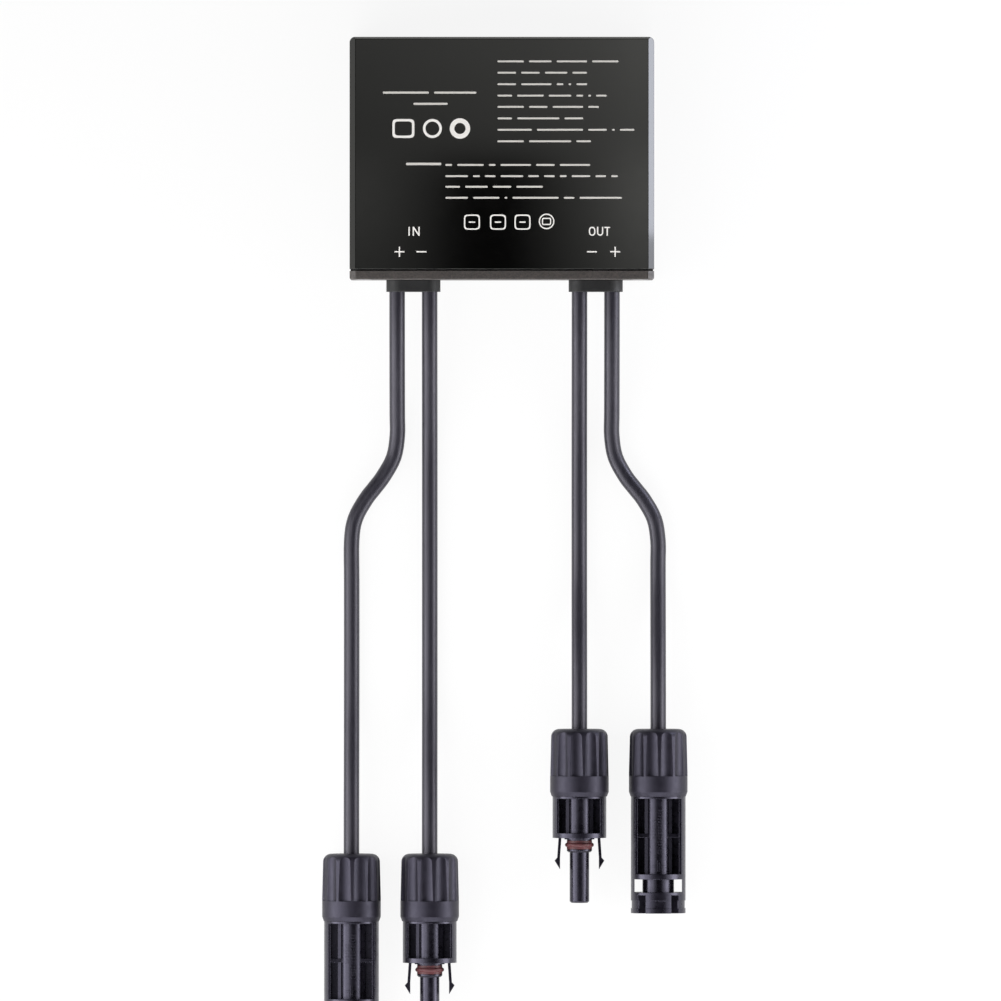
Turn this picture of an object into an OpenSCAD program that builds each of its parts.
/* [Enclosure] */
// Width of the enclosure
box_w = 101; // [95:0.5:130]
// Length of the shell, from its open end to its closed end
shell_l = 77; // [74:0.5:110]
// Depth of the enclosure, from the front face to the back face
box_d = 25; // [25:0.5:40]
// Bevel on the four long edges
edge_bevel = 1.9; // [0.8:0.1:3]
// Radius of the two corners at the closed end
corner_r = 1.8; // [0.8:0.1:5]
// Bevel on the front and back edges of the closed end
end_bevel = 0.7; // [0.3:0.1:1.5]
// Wall of the shell
wall = 2.5; // [1.8:0.1:3]

/* [Lid] */
// Thickness of the end lid
lid_t = 2.8; // [2.2:0.1:4]
// Radius of the lid's two outer corners
lid_corner_r = 0.6; // [0.3:0.1:1.5]
// Thickness of the lid gasket
gasket_t = 0.6; // [0.4:0.1:1.2]
// Step of the gasket behind the outer faces
gasket_step = 0.35; // [0.2:0.05:1]
// Distance of the lid screws from the outer faces
screw_inset = 4.6; // [4.2:0.1:6]
// Shank diameter of a lid screw
screw_d = 2.8; // [2:0.1:3.4]
// Head diameter of a lid screw
screw_head_d = 5.4; // [4.4:0.1:6.2]
// Height of the countersunk head
screw_head_h = 1.6; // [1.2:0.1:2]
// Length of a lid screw with its head
screw_l = 9; // [6:0.5:10]
// Width of the cross recess in the screw head
recess_w = 0.7; // [0.4:0.1:1]
// Length of the cross recess
recess_l = 2.8; // [2:0.1:3.6]
// Depth of the cross recess
recess_h = 0.9; // [0.5:0.1:1.1]
// Diameter of a screw boss
boss_d = 6.8; // [5.6:0.1:8]
// Length of a screw boss
boss_l = 7.5; // [6:0.1:8]

/* [Leads and glands] */
// Outer diameter of a lead
cable_d = 5.2; // [4.4:0.1:5.4]
// Rubber beside the leads in the gland block
gland_rim = 1; // [0.6:0.1:2]
// Size of the gland block across the enclosure's depth
gland_h = 9.5; // [8:0.1:12]
// Height of the gland block above the lid
gland_proud = 4; // [2:0.1:6]
// Rubber around a lead where it passes the lid
neck_wall = 0.9; // [0.6:0.1:1.2]
// Width of the lip that holds the gland behind the lid
lip_w = 0.6; // [0.3:0.1:1]
// Thickness of that lip
lip_t = 1.2; // [0.8:0.1:2]

/* [Converter] */
// Thickness of the circuit board
board_t = 1.6; // [1:0.1:2]
// Reach of the guide ribs over the board's edges
rib_w = 1.6; // [1:0.1:2.4]
// Thickness of a guide rib
rib_t = 1; // [0.6:0.1:1.6]
// Board in front of the lead terminals
board_lead_in = 0.8; // [0.4:0.1:1]
// Width of a lead terminal
terminal_w = 6; // [5:0.1:8]
// Length of a lead terminal
terminal_l = 7; // [5:0.5:9]
// Metal above the conductor bore of a terminal
terminal_roof = 1.4; // [1:0.1:2.5]
// Diameter of the conductor bore
conductor_d = 2.8; // [2:0.1:3.4]
// Width of the inductor core
core_w = 28; // [26:0.5:34]
// Length of the inductor core
core_l = 20; // [18:0.5:20.5]
// Thickness of the core above and below the coil
core_yoke = 2.4; // [1.8:0.1:3]
// Diameter of the core's centre post
core_post_d = 9; // [7:0.1:11]
// Outer diameter of the coil
coil_d = 20.8; // [18:0.1:22]
// Diameter of a capacitor
cap_d = 10; // [8:0.1:11]
// Room above the inductor and the capacitors
roof_gap = 0.9; // [0.5:0.1:3]
// Number of capacitors on each side
cap_count = 3; // [1:1:3]
// Distance between capacitors
cap_pitch = 12; // [11.5:0.1:13]
// Distance of the capacitors' middle from the centre line
cap_x = 29; // [27:0.5:30]
// Free board around the inductor and the capacitors
parts_gap = 4; // [3:0.1:5]
// Width of a power transistor
fet_w = 10; // [8:0.1:11]
// Length of a power transistor
fet_l = 9; // [7:0.1:12]
// Height of a power transistor
fet_h = 4.4; // [3:0.1:4.8]
// Number of power transistors
fet_count = 4; // [2:1:5]
// Distance between power transistors
fet_pitch = 13; // [12:0.1:15]
// Side of the controller chip
chip_w = 7; // [5:0.5:10]
// Height of the controller chip
chip_h = 1; // [0.6:0.1:1.6]

/* [Connector nut] */
// Largest diameter of the nut
nut_d = 19.5; // [19:0.1:19.6]
// Diameter of the nut above its flutes
nut_top_d = 18.9; // [18.4:0.1:19.4]
// Length of the nut
nut_l = 22.4; // [21:0.1:25]
// Shoulder radius at the cable end
nut_shoulder_r = 2.7; // [1.5:0.1:3]
// Distance of the flutes' shelf from the cable end
flute_l = 15.6; // [12:0.1:17]
// Number of flutes
flute_count = 12; // [8:1:14]
// Radius of a flute
flute_r = 3.7; // [3:0.1:5]
// Depth of a flute
flute_depth = 0.9; // [0.5:0.1:1]
// Length of the ridges' full height above the flutes' shelf
ridge_l = 0.8; // [0.4:0.1:2]
// Height of the chamfer at the nut's front end
nut_chamfer_l = 1.5; // [0.8:0.1:1.8]
// Width of that chamfer
nut_chamfer_w = 0.55; // [0.3:0.05:0.9]
// Thickness of the nut's cable end
nut_end_t = 3; // [2.4:0.1:4]
// Bore of the nut over the body's rear stub
nut_bore_d = 14.7; // [13.8:0.1:15]

/* [Connector grip] */
// Length of the clamp ring on the cable
clamp_l = 6; // [5:0.1:7]
// Outer diameter of the clamp ring
clamp_d = 13.4; // [11.6:0.1:13.6]
// Number of slits in the clamp ring
slit_count = 6; // [4:1:8]
// Width of a slit
slit_w = 1.2; // [0.6:0.1:1.6]
// Length of a slit
slit_l = 4.5; // [3:0.1:4.8]
// Length of the cable seal
seal_l = 7; // [6:0.1:8]
// Outer diameter of the cable seal
seal_d = 10.6; // [9:0.1:11]
// Seal that stands out of the body's stub
seal_proud = 1; // [0.5:0.1:1.5]

/* [Contacts] */
// Outer diameter of a contact's crimp barrel
barrel_d = 5; // [4.8:0.1:5.2]
// Length of the crimp barrel
barrel_l = 8; // [7:0.1:10]
// Diameter of the contact pin
pin_d = 4; // [3.6:0.1:4.2]
// Chamfer on the pin's tip
pin_tip = 0.8; // [0.4:0.1:1.2]
// Distance of the pin's tip behind the mouth of its body
pin_recess = 6.6; // [5.5:0.1:9]
// Distance of the socket's end behind the probe's tip
socket_recess = 1; // [0.5:0.1:2]
// Depth of the socket
socket_depth = 15; // [10:0.5:16]

/* [Connector bodies] */
// Diameter of the sleeve body
sleeve_d = 18.2; // [17.8:0.1:18.6]
// Length of the sleeve body in front of its nut
sleeve_l = 38.8; // [37:0.1:42]
// Diameter of the probe body
probe_body_d = 17.9; // [17.5:0.1:18.4]
// Length of the probe body in front of its nut
probe_body_l = 13.8; // [12:0.1:18]
// Thickness of the rear disc of a body
rear_disc_t = 0.7; // [0.5:0.1:1.2]
// Diameter of the tube between the side rails
tube_d = 8.8; // [8:0.1:9]
// Distance of the side rails from the axis
rail_x = 6.9; // [6.2:0.1:7.2]
// Height of the side rails, across the axis
rail_h = 9.6; // [8.8:0.1:11]
// Thickness of the web between tube and rails
web_t = 2; // [1:0.1:3]
// Distance of the slot's bridge from the nut
bridge_z = 12.4; // [8:0.1:16]
// Thickness of the bridge
bridge_t = 1.2; // [0.5:0.1:1.5]
// Reach of the bridge above and below the axis
bridge_h = 3.2; // [1.5:0.1:3.5]
// Length of the end ring at the sleeve's mouth
end_ring_l = 6.9; // [5.4:0.1:7]
// Length of the latch windows behind the end ring
window_l = 4.4; // [4.3:0.1:6]
// Ring behind the latch windows
window_ring_t = 1.7; // [1:0.1:2.5]
// Diameter of the tube beside the windows
window_tube_d = 10.5; // [10:0.1:10.8]
// Outer wall beside a window
window_wall = 1.2; // [0.9:0.1:1.6]
// Depth of the band round the end ring
band_depth = 0.25; // [0.1:0.05:0.5]
// Length of that band
band_l = 2.6; // [1.5:0.1:3.5]
// Distance of the band from the mouth
band_z = 1.6; // [1:0.1:2.4]
// Distance of the end ring's recesses from the axis
scoop_x = 4.2; // [3.6:0.1:4.6]
// Width of those recesses
scoop_w = 2.6; // [2:0.1:3]
// Height of the recesses' floor over the axis
scoop_floor = 6.1; // [5.2:0.1:6.6]
// Width of a latch channel through the end ring
channel_h = 6.4; // [5.6:0.1:7]

/* [Probe] */
// Diameter of the probe
probe_d = 6.5; // [6.2:0.1:6.8]
// Length of the probe in front of its collar
probe_l = 16.8; // [14:0.1:18]
// Chamfer on the probe's tip
probe_tip = 0.5; // [0.2:0.1:0.6]
// Diameter of the collar that carries the sealing ring
collar_d = 8.4; // [8.2:0.1:9]
// Length of that collar
collar_l = 4.3; // [4.2:0.1:5]
// Chamfer on the collar's front edge
collar_bevel = 0.5; // [0.2:0.1:0.6]
// Diameter of the flange on the body's front
flange_d = 10; // [9.6:0.1:11]
// Thickness of that flange
flange_t = 0.5; // [0.3:0.1:1]
// Thickness of the probe body's front disc
front_disc_t = 1.6; // [1.2:0.1:2.5]
// Outer diameter of the sealing ring over its lip
ring_d = 9.6; // [9.3:0.1:10]
// Length of the sealing ring along the axis
ring_l = 2.8; // [2.2:0.1:2.9]
// Thickness of the sealing ring's lip
ring_lip_t = 1.5; // [1:0.1:1.8]
// Diameter of the groove under the sealing ring
groove_d = 7; // [6.8:0.1:7.6]
// Distance of the groove from the flange
groove_z = 0.4; // [0.3:0.1:0.6]
// Distance of a latch arm from the axis at its root
arm_x = 5.9; // [5.4:0.1:6.2]
// Thickness of a latch arm
arm_t = 0.95; // [0.7:0.05:1.2]
// Length of a latch arm
arm_l = 10.5; // [9:0.1:12]
// Outward lean of a latch arm at its barb
arm_lean = 0.55; // [0:0.05:0.6]
// Length of the barb on a latch arm
barb_l = 3.9; // [3:0.1:5]
// Reach of the barb outside the arm
barb_w = 0.85; // [0.5:0.05:1.1]
// Width of a latch arm
arm_h = 5; // [4:0.1:5.4]

/* [Fits] */
// Clearance around leads, contacts and inserted pieces
fit_gap = 0.1; // [0.05:0.01:0.15]
// Clearance around the board and loosely fitted pieces
loose_gap = 0.3; // [0.2:0.05:0.4]

/* [Hidden] */
$fn = 64;
cable_sides = 12;
through = 1;
least_bevel = 0.3;
nut_turn_sleeve = -2;
nut_turn_probe = -9;

// Routes of the leads, from the terminal on the board to the contact in the connector
input_plus_route = [
    [-34.8, -28, 12.5], [-34.8, -38, 12.5], [-34.8, -46, 12.5], [-34.8, -56, 11.8],
    [-34.8, -66, 9.9], [-34.8, -76, 7.3], [-34.8, -85, 5.1], [-34.8, -92, 3.7],
    [-36, -99.1, 2.9], [-39.4, -105.4, 2.7], [-42.4, -109.4, 2.7], [-45.4, -113.3, 2.7],
    [-48.8, -119.6, 2.7], [-50, -126.8, 2.7], [-50, -140, 2.7], [-50, -156, 2.7],
    [-50, -170, 2.7], [-50, -182, 3.6], [-50, -194, 5.8], [-50, -206, 8.3],
    [-50, -218, 9.7], [-50, -230, 9.8], [-50, -247, 9.8]];
input_minus_route = [
    [-24, -28, 12.5], [-24, -38, 12.5], [-24, -46, 12.5], [-24, -56, 11.8],
    [-24, -66, 9.9], [-24, -76, 7.3], [-24, -86, 4.9], [-24, -96, 3.2],
    [-24, -108, 2.7], [-24, -124, 2.7], [-24, -140, 2.7], [-24, -156, 2.7],
    [-24, -170, 2.7], [-24, -182, 3.6], [-24, -194, 5.8], [-24, -206, 8.3],
    [-24, -218, 9.7], [-24, -230, 9.8], [-24, -247, 9.8]];
output_minus_route = [
    [25.8, -28, 12.5], [25.8, -38, 12.5], [25.8, -46, 12.5], [25.8, -56, 11.8],
    [25.8, -66, 9.9], [25.8, -76, 7.3], [25.8, -86, 4.9], [25.8, -96, 3.2],
    [25.8, -108, 2.7], [25.8, -120, 2.7], [25.8, -132, 2.7], [25.8, -142, 3.4],
    [25.8, -152, 5.2], [25.8, -162, 7.4], [25.8, -172, 9.1], [25.8, -182, 9.8],
    [25.8, -190, 9.8], [25.8, -205.5, 9.8]];
output_plus_route = [
    [36.6, -28, 12.5], [36.6, -38, 12.5], [36.6, -46, 12.5], [36.6, -56, 11.8],
    [36.6, -66, 9.9], [36.6, -76, 7.3], [36.6, -85, 5.1], [36.6, -92, 3.7],
    [37.8, -99.1, 2.9], [41.2, -105.5, 2.7], [44.3, -109.5, 2.7], [47.4, -113.5, 2.7],
    [50.8, -119.8, 2.7], [52, -127, 2.7], [52, -134, 2.8], [52, -142, 3.4],
    [52, -152, 5.2], [52, -162, 7.4], [52, -172, 9.1], [52, -182, 9.8],
    [52, -190, 9.8], [52, -205.5, 9.8]];
routes = [input_plus_route, input_minus_route, output_minus_route, output_plus_route];

// Stations along the enclosure
lid_y = -(shell_l + gasket_t + lid_t) / 2;
gasket_y = lid_y + lid_t;
open_y = gasket_y + gasket_t;
end_y = open_y + shell_l;
cavity_end_y = end_y - wall;
cavity_bevel = max(least_bevel, edge_bevel - wall * (2 - sqrt(2)));

// Stations of the converter, which hangs on the leads' height
cable_r = cable_d / 2;
lead_start = input_plus_route[0];
lead_z = lead_start[2];
lead_y = lead_start[1];
board_top = lead_z - cable_r - loose_gap;
board_bottom = board_top - board_t;
board_w = box_w - 2 * wall - 2 * loose_gap;
board_y = lead_y - board_lead_in;
board_l = cavity_end_y - loose_gap - board_y;
parts_y = lead_y + terminal_l;
core_y = cavity_end_y - parts_gap - core_l / 2;
cap_y = parts_y + parts_gap + cap_d / 2;
fet_y = cap_y + cap_d / 2 + fet_l / 2;
pad_t = board_bottom - fet_h - wall;
core_h = box_d - wall - roof_gap - board_top;
cap_h = core_h;
coil_h = core_h - 2 * core_yoke - fit_gap;

// Stations along a connector, from the nut's cable end
clamp_z = nut_end_t;
seal_z = clamp_z + clamp_l;
grip_l = seal_z + seal_l;
stub_z = seal_z + seal_proud;
stub_d = nut_bore_d - 2 * fit_gap;
front_z = nut_l;
step_z = grip_l + barrel_l;
mouth_z = front_z + sleeve_l;
end_ring_z = mouth_z - end_ring_l;
window_z = end_ring_z - window_l;
window_ring_z = window_z - window_ring_t;
window_x = sleeve_d / 2 - window_wall;
body_end_z = front_z + probe_body_l;
flange_z = body_end_z + flange_t;
probe_z = flange_z + collar_l;
probe_end_z = probe_z + probe_l;
mouth_depth = flange_t + collar_l;
probe_cavity_z = mouth_z - mouth_depth - probe_l - 2 * loose_gap;
pin_end_z = mouth_z - pin_recess;
socket_end_z = probe_end_z - socket_recess;
barb_z = body_end_z + arm_l - barb_l;

black = [0.11, 0.11, 0.11];
soft_black = [0.14, 0.14, 0.15];
plastic = [0.16, 0.155, 0.18];
metal = [0.78, 0.78, 0.76];

// Extrudes an outline in X and Z along Y
module along_y(from_y, to_y) {
    translate([0, to_y, 0]) rotate([90, 0, 0]) linear_extrude(to_y - from_y) children();
}

// Section of the enclosure: a rectangle with bevelled corners, standing on Z = 0
module box_section(w, d, bevel) {
    x = w / 2;
    polygon([
        [-x + bevel, 0], [x - bevel, 0], [x, bevel], [x, d - bevel],
        [x - bevel, d], [-x + bevel, d], [-x, d - bevel], [-x, bevel]]);
}

module cavity_section() {
    translate([0, wall]) box_section(box_w - 2 * wall, box_d - 2 * wall, cavity_bevel);
}

// Places children at the four lid screws, in X and Z
module at_screws() {
    for (x = [-1, 1], z = [screw_inset, box_d - screw_inset])
        translate([x * (box_w / 2 - screw_inset), z]) children();
}

// Outline in X and Y with the two corners at side * y rounded
module plan_outline(from_y, to_y, r, side) {
    flat_y = side > 0 ? from_y : from_y + r;
    round_y = side > 0 ? to_y - r : from_y + r;
    translate([-box_w / 2, flat_y]) square([box_w, to_y - from_y - r]);
    translate([-box_w / 2 + r, from_y]) square([box_w - 2 * r, to_y - from_y]);
    for (x = [-1, 1]) translate([x * (box_w / 2 - r), round_y]) circle(r);
}

// Wedge along X that bevels an edge of the closed end
module end_wedge(z) {
    translate([-box_w / 2 - through, end_y, z]) rotate([90, 0, 90])
        linear_extrude(box_w + 2 * through)
            polygon([[-end_bevel, 0], [0, end_bevel], [end_bevel, 0], [0, -end_bevel]]);
}

// Pair of ribs on both side walls that hold the board's edges
module board_ribs() {
    for (x = [-1, 1], z = [board_bottom - rib_t, board_top + loose_gap])
        translate([x * (box_w / 2 - wall - (rib_w - through) / 2), z + rib_t / 2])
            square([rib_w + through, rib_t], center = true);
}

module housing_shell() color(black) difference() {
    union() {
        difference() {
            intersection() {
                along_y(open_y, end_y) box_section(box_w, box_d, edge_bevel);
                linear_extrude(box_d) plan_outline(open_y, end_y, corner_r, 1);
            }
            along_y(open_y - through, cavity_end_y) cavity_section();
            end_wedge(box_d);
            end_wedge(0);
        }
        along_y(open_y, open_y + boss_l) at_screws() circle(d = boss_d);
        along_y(open_y + boss_l, cavity_end_y + through) board_ribs();
    }
    along_y(open_y - through, open_y + boss_l + through)
        at_screws() circle(d = screw_d + 2 * fit_gap);
}

module end_lid() color([0.3, 0.28, 0.27]) difference() {
    intersection() {
        along_y(lid_y, gasket_y) box_section(box_w, box_d, edge_bevel);
        linear_extrude(box_d) plan_outline(lid_y, gasket_y, lid_corner_r, -1);
    }
    along_y(lid_y - through, gasket_y + through) at_screws() circle(d = screw_d + 2 * fit_gap);
    translate([0, lid_y, 0]) rotate([90, 0, 0]) at_screws() countersink();
    for (route = routes) translate([route[0][0], 0, lead_z]) rotate([90, 0, 0])
        translate([0, 0, -gasket_y - through])
            cylinder(d = neck_d() + 2 * fit_gap, h = lid_t + 2 * through);
}

// Cone under the head of a lid screw, from the lid's outer face inwards
module countersink() {
    translate([0, 0, -screw_head_h - fit_gap])
        cylinder(d1 = screw_d + 2 * fit_gap, d2 = screw_head_d + 2 * fit_gap, h = screw_head_h + fit_gap);
}

module lid_gasket() color([0.05, 0.05, 0.05]) along_y(gasket_y, open_y) difference() {
    translate([0, gasket_step])
        box_section(box_w - 2 * gasket_step, box_d - 2 * gasket_step, edge_bevel);
    difference() {
        cavity_section();
        at_screws() circle(d = boss_d);
    }
    at_screws() circle(d = screw_d + 2 * fit_gap);
}

module lid_screws() color(metal) translate([0, lid_y, 0]) rotate([90, 0, 0]) at_screws()
    difference() {
        rotate_extrude() polygon([
            [0, 0], [screw_head_d / 2, 0], [screw_d / 2, -screw_head_h],
            [screw_d / 2, -screw_l], [0, -screw_l]]);
        for (turn = [0, 90]) rotate(turn)
            translate([-recess_l / 2, -recess_w / 2, -recess_h])
                cube([recess_l, recess_w, recess_h + through]);
    }

function bore_d() = cable_d + 2 * fit_gap;
function neck_d() = bore_d() + 2 * neck_wall;

module obround(w, h) {
    square([w - h, h], center = true);
    for (x = [-1, 1]) translate([x * (w - h) / 2, 0]) circle(d = h);
}

// Rubber block over the lid with one neck and lip for each of its two leads
module gland(left, right) color([0.06, 0.06, 0.06]) {
    pitch = right[0] - left[0];
    back_y = gasket_y + lip_t;
    translate([(left[0] + right[0]) / 2, 0, lead_z]) difference() {
        union() {
            along_y(lid_y - gland_proud, lid_y) obround(pitch + cable_d + 2 * gland_rim, gland_h);
            for (x = [-1, 1]) translate([x * pitch / 2, 0, 0]) {
                along_y(lid_y - through, gasket_y) circle(d = neck_d());
                along_y(gasket_y, back_y) circle(d = neck_d() + 2 * lip_w);
            }
        }
        for (x = [-1, 1]) translate([x * pitch / 2, 0, 0])
            along_y(lid_y - gland_proud - through, back_y + through) circle(d = bore_d());
    }
}

module circuit_board() color([0.1, 0.32, 0.18])
    translate([-board_w / 2, board_y, board_bottom]) cube([board_w, board_l, board_t]);

module lead_terminals() color([0.75, 0.6, 0.3]) for (route = routes)
    translate([route[0][0], lead_y, 0]) difference() {
        translate([-terminal_w / 2, 0, board_top])
            cube([terminal_w, terminal_l, lead_z + conductor_d / 2 + terminal_roof - board_top]);
        translate([0, terminal_l + through, lead_z]) rotate([90, 0, 0])
            cylinder(d = conductor_d, h = terminal_l + 2 * through);
    }

// Core halves that close round the coil, open at both ends
module inductor_core() color([0.2, 0.2, 0.22]) translate([0, core_y, board_top]) difference() {
    translate([-core_w / 2, -core_l / 2, 0]) cube([core_w, core_l, core_h]);
    translate([0, 0, core_yoke]) difference() {
        cylinder(d = coil_d + 2 * fit_gap, h = core_h - 2 * core_yoke);
        cylinder(d = core_post_d, h = core_h - 2 * core_yoke);
    }
}

module inductor_coil() color([0.72, 0.4, 0.2])
    translate([0, core_y, board_top + core_yoke]) difference() {
        cylinder(d = coil_d, h = coil_h);
        translate([0, 0, -through])
            cylinder(d = core_post_d + 2 * fit_gap, h = coil_h + 2 * through);
    }

module capacitors(side) color([0.15, 0.2, 0.35])
    for (i = [0 : cap_count - 1])
        translate([side * cap_x + (i - (cap_count - 1) / 2) * cap_pitch, cap_y, board_top])
            cylinder(d = cap_d, h = cap_h);

module power_transistors() color([0.08, 0.08, 0.08])
    for (i = [0 : fet_count - 1])
        translate([(i - (fet_count - 1) / 2) * fet_pitch - fet_w / 2, fet_y - fet_l / 2, 0])
            translate([0, 0, board_bottom - fet_h]) cube([fet_w, fet_l, fet_h]);

module thermal_pad() color([0.6, 0.6, 0.62]) {
    pad_w = (fet_count - 1) * fet_pitch + fet_w;
    translate([-pad_w / 2, fet_y - fet_l / 2, wall]) cube([pad_w, fet_l, pad_t]);
}

module controller_chip() color([0.07, 0.07, 0.07])
    translate([-chip_w / 2, cap_y - chip_w / 2, board_top]) cube([chip_w, chip_w, chip_h]);

function unit(v) = v / norm(v);
function heading(p, i) = unit(p[min(i + 1, len(p) - 1)] - p[max(i - 1, 0)]);
function lead_ring(p, i) =
    let (t = heading(p, i), u = unit(cross(t, [0, 0, 1])), v = cross(u, t))
    [for (k = [0 : cable_sides - 1])
        p[i] + cable_r * (cos(360 * k / cable_sides) * u + sin(360 * k / cable_sides) * v)];

// Lead swept along its route as one closed tube
module lead(route) color(soft_black) {
    n = cable_sides;
    last = (len(route) - 1) * n;
    points = [for (i = [0 : len(route) - 1]) each lead_ring(route, i)];
    walls = [for (a = [0 : n : last - n], k = [0 : n - 1])
        let (m = (k + 1) % n)
        each [[a + k, a + m, a + n + m], [a + k, a + n + m, a + n + k]]];
    start_cap = [for (k = [n - 1 : -1 : 0]) k];
    end_cap = [for (k = [0 : n - 1]) last + k];
    polyhedron(points, concat([start_cap, end_cap], walls));
}

// Places a connector so that its contact meets the end of the lead.
// Its own +Z runs from the cable end to the mating end.
module at_end(route) {
    tip = route[len(route) - 1];
    translate([tip[0], tip[1] + grip_l, tip[2]]) rotate([90, 0, 0]) children();
}

module disc(d, from_z, to_z) {
    translate([0, 0, from_z]) cylinder(d = d, h = to_z - from_z);
}

module nut_section() {
    r = nut_d / 2;
    top_r = nut_top_d / 2;
    shoulder_x = top_r - nut_shoulder_r;
    polygon([
        [bore_d() / 2, 0], [shoulder_x, 0], [shoulder_x, nut_shoulder_r], [top_r, nut_shoulder_r],
        [r, flute_l - ridge_l], [r, nut_l - nut_chamfer_l],
        [r - nut_chamfer_w, nut_l], [nut_bore_d / 2, nut_l],
        [nut_bore_d / 2, nut_end_t], [bore_d() / 2, nut_end_t]]);
    intersection() {
        translate([shoulder_x, nut_shoulder_r]) circle(nut_shoulder_r);
        translate([shoulder_x, 0]) square(nut_shoulder_r);
    }
}

// Fluted gland nut; turn is the angle of a ridge from the front
module nut(turn) color(soft_black) difference() {
    rotate_extrude() nut_section();
    for (i = [0 : flute_count - 1])
        rotate(turn + (i + 0.5) * 360 / flute_count)
            translate([0, nut_d / 2 - flute_depth + flute_r, -through])
                cylinder(r = flute_r, h = flute_l + through);
}

module clamp() color([0.1, 0.1, 0.1]) difference() {
    disc(clamp_d, clamp_z, seal_z);
    disc(bore_d(), clamp_z - through, seal_z + through);
    for (i = [0 : slit_count - 1]) rotate(i * 360 / slit_count)
        translate([0, -slit_w / 2, clamp_z - through])
            cube([clamp_d, slit_w, slit_l + through]);
}

module seal() color([0.08, 0.08, 0.08]) difference() {
    disc(seal_d, seal_z, grip_l);
    disc(bore_d(), seal_z - through, grip_l + through);
}

// Threaded stub behind a body
module body_stub() {
    disc(stub_d, stub_z, front_z + rear_disc_t);
}

// Bores for the seal and the contact's barrel
module body_bores() {
    disc(seal_d + 2 * fit_gap, stub_z - through, grip_l);
    disc(barrel_d + 2 * fit_gap, grip_l - through, step_z);
}

// Rails, tube and web that both bodies share, up to the station end_z
module ribbed_tube(d, end_z) {
    disc(d, front_z, front_z + rear_disc_t);
    disc(tube_d, front_z, end_z);
    intersection() {
        disc(d, front_z, end_z);
        for (x = [-1, 1]) translate([x * (rail_x + d / 2), 0, (front_z + end_z) / 2])
            cube([d, rail_h, end_z - front_z], center = true);
    }
    translate([-rail_x - through / 2, -web_t / 2, front_z])
        cube([2 * rail_x + through, web_t, end_z - front_z]);
}

// Body with a sleeve that takes the mating probe and its latch arms
module sleeve_body() color(plastic) difference() {
    union() {
        body_stub();
        ribbed_tube(sleeve_d, window_ring_z + window_ring_t);
        translate([-rail_x - through / 2, -bridge_h, front_z + bridge_z])
            cube([2 * rail_x + through, 2 * bridge_h, bridge_t]);
        disc(sleeve_d, window_ring_z, window_z);
        disc(window_tube_d, window_z, end_ring_z);
        window_walls();
        disc(sleeve_d, end_ring_z, mouth_z);
    }
    body_bores();
    disc(pin_d + 2 * fit_gap, step_z - through, probe_cavity_z + through);
    disc(probe_d + 2 * loose_gap, probe_cavity_z, mouth_z);
    disc(ring_d - 2 * fit_gap, mouth_z - mouth_depth, mouth_z + through);
    latch_channels();
    ring_scoops();
    difference() {
        disc(sleeve_d + 2 * through, mouth_z - band_z - band_l, mouth_z - band_z);
        disc(sleeve_d - 2 * band_depth, mouth_z - band_z - band_l, mouth_z - band_z);
    }
}

// Outer walls beside the two latch windows
module window_walls() {
    intersection() {
        disc(sleeve_d, window_z, end_ring_z);
        for (x = [-1, 1])
            translate([x * (window_x + sleeve_d / 2), 0, window_z + window_l / 2])
                cube([sleeve_d, sleeve_d, window_l], center = true);
    }
}

// Channels through the end ring for the mating latch arms
module latch_channels() {
    inner_x = window_tube_d / 2 + loose_gap;
    for (x = [-1, 1])
        translate([x * (inner_x + window_x) / 2, 0, end_ring_z + end_ring_l / 2])
            cube([window_x - inner_x, channel_h, end_ring_l + 2 * through], center = true);
}

// Lengthwise recesses beside the middle of the end ring, front and back
module ring_scoops() {
    for (x = [0, 1], y = [0, 1]) mirror([x, 0, 0]) mirror([0, y, 0])
        translate([scoop_x, scoop_floor, end_ring_z + window_ring_t / 2])
            cube([scoop_w, sleeve_d, end_ring_l]);
}

// Body with a probe, a collar for the sealing ring and two latch arms
module probe_body() color(plastic) difference() {
    union() {
        body_stub();
        ribbed_tube(probe_body_d, body_end_z);
        disc(probe_body_d, body_end_z - front_disc_t, body_end_z);
        disc(flange_d, body_end_z, flange_z);
        disc(collar_d, flange_z, probe_z - collar_bevel);
        translate([0, 0, probe_z - collar_bevel])
            cylinder(d1 = collar_d, d2 = collar_d - 2 * collar_bevel, h = collar_bevel);
        disc(probe_d, probe_z, probe_end_z - probe_tip);
        translate([0, 0, probe_end_z - probe_tip])
            cylinder(d1 = probe_d, d2 = probe_d - 2 * probe_tip, h = probe_tip);
        for (side = [0, 1]) mirror([side, 0, 0]) latch_arm();
    }
    body_bores();
    disc(barrel_d + 2 * fit_gap, step_z - through, probe_end_z + through);
    difference() {
        disc(collar_d + through, flange_z + groove_z, flange_z + groove_z + ring_l + fit_gap);
        disc(groove_d, flange_z + groove_z, flange_z + groove_z + ring_l + fit_gap);
    }
}

module latch_arm() {
    root_z = body_end_z - front_disc_t;
    tip_z = body_end_z + arm_l;
    translate([0, arm_h / 2, 0]) rotate([90, 0, 0]) linear_extrude(arm_h) polygon([
        [arm_x, root_z], [arm_x + arm_lean, barb_z], [arm_x + arm_lean, tip_z],
        [arm_x + arm_lean + arm_t + barb_w, barb_z + arm_t], [arm_x + arm_lean + arm_t, barb_z],
        [arm_x + arm_t, root_z]]);
}

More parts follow.
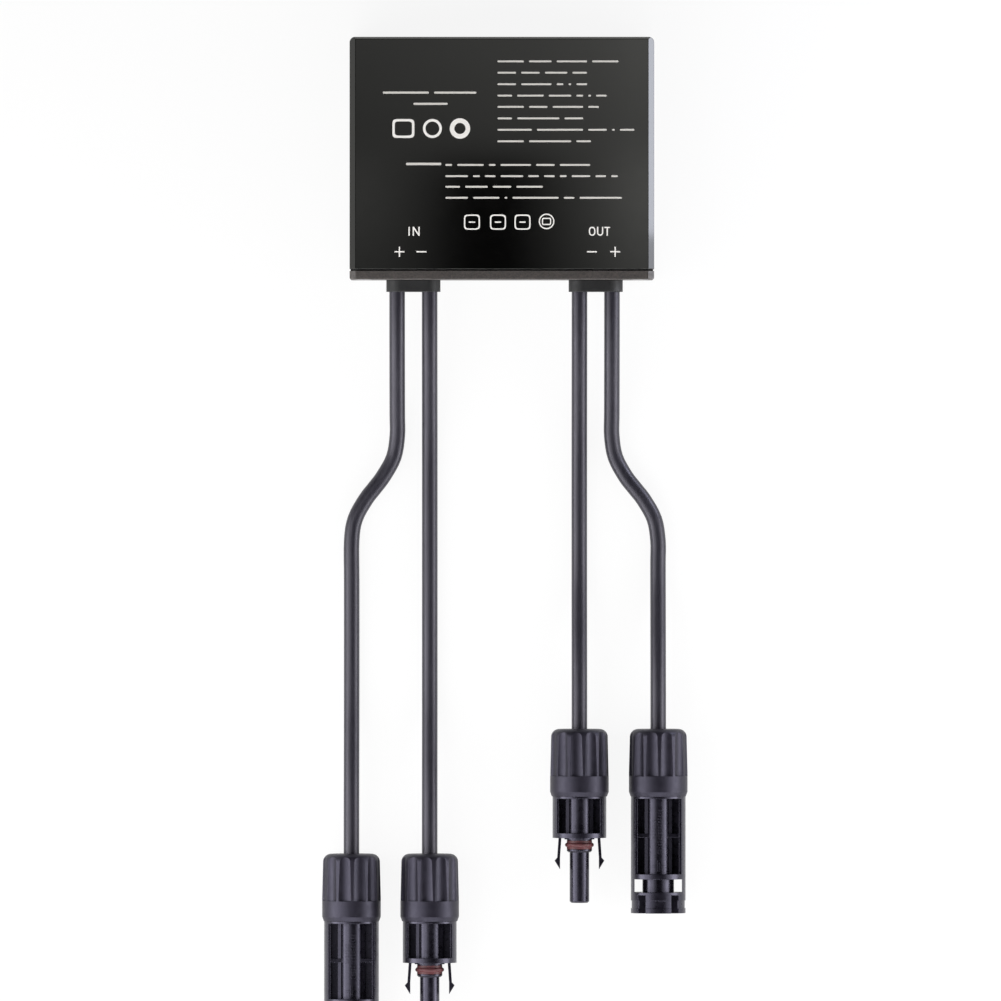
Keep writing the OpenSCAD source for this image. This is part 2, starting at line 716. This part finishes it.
// Sealing ring in the collar's groove: a flat band with a round lip
module sealing_ring() color([0.42, 0.22, 0.2])
    translate([0, 0, flange_z + groove_z + (ring_l + fit_gap) / 2]) rotate_extrude() {
        inner_r = groove_d / 2 + fit_gap / 2;
        translate([inner_r, -ring_l / 2]) square([collar_d / 2 - inner_r, ring_l]);
        intersection() {
            translate([ring_d / 2 - ring_lip_t / 2, 0]) circle(d = ring_lip_t);
            translate([inner_r, -ring_lip_t / 2]) square([ring_d, ring_lip_t]);
        }
    }

module pin() color(metal) {
    disc(barrel_d, grip_l, step_z);
    disc(pin_d, step_z, pin_end_z - pin_tip);
    translate([0, 0, pin_end_z - pin_tip])
        cylinder(d1 = pin_d, d2 = pin_d - 2 * pin_tip, h = pin_tip);
}

module socket() color(metal) difference() {
    disc(barrel_d, grip_l, socket_end_z);
    disc(pin_d + fit_gap, socket_end_z - socket_depth, socket_end_z + through);
}

housing_shell();
end_lid();
lid_gasket();
lid_screws();
gland(input_plus_route[0], input_minus_route[0]);  // input_gland
gland(output_minus_route[0], output_plus_route[0]);  // output_gland
circuit_board();
inductor_core();
inductor_coil();
capacitors(-1);  // input_capacitors
capacitors(1);  // output_capacitors
power_transistors();
thermal_pad();
controller_chip();
lead_terminals();
lead(input_plus_route);  // input_plus_lead
lead(input_minus_route);  // input_minus_lead
lead(output_minus_route);  // output_minus_lead
lead(output_plus_route);  // output_plus_lead
at_end(input_plus_route) nut(nut_turn_sleeve);  // input_plus_nut
at_end(input_plus_route) sleeve_body();  // input_plus_body
at_end(input_plus_route) clamp();  // input_plus_clamp
at_end(input_plus_route) seal();  // input_plus_seal
at_end(input_plus_route) pin();  // input_plus_pin
at_end(input_minus_route) nut(nut_turn_probe);  // input_minus_nut
at_end(input_minus_route) probe_body();  // input_minus_body
at_end(input_minus_route) clamp();  // input_minus_clamp
at_end(input_minus_route) seal();  // input_minus_seal
at_end(input_minus_route) socket();  // input_minus_socket
at_end(input_minus_route) sealing_ring();  // input_minus_ring
at_end(output_minus_route) nut(nut_turn_probe);  // output_minus_nut
at_end(output_minus_route) probe_body();  // output_minus_body
at_end(output_minus_route) clamp();  // output_minus_clamp
at_end(output_minus_route) seal();  // output_minus_seal
at_end(output_minus_route) socket();  // output_minus_socket
at_end(output_minus_route) sealing_ring();  // output_minus_ring
at_end(output_plus_route) nut(nut_turn_sleeve);  // output_plus_nut
at_end(output_plus_route) sleeve_body();  // output_plus_body
at_end(output_plus_route) clamp();  // output_plus_clamp
at_end(output_plus_route) seal();  // output_plus_seal
at_end(output_plus_route) pin();  // output_plus_pin
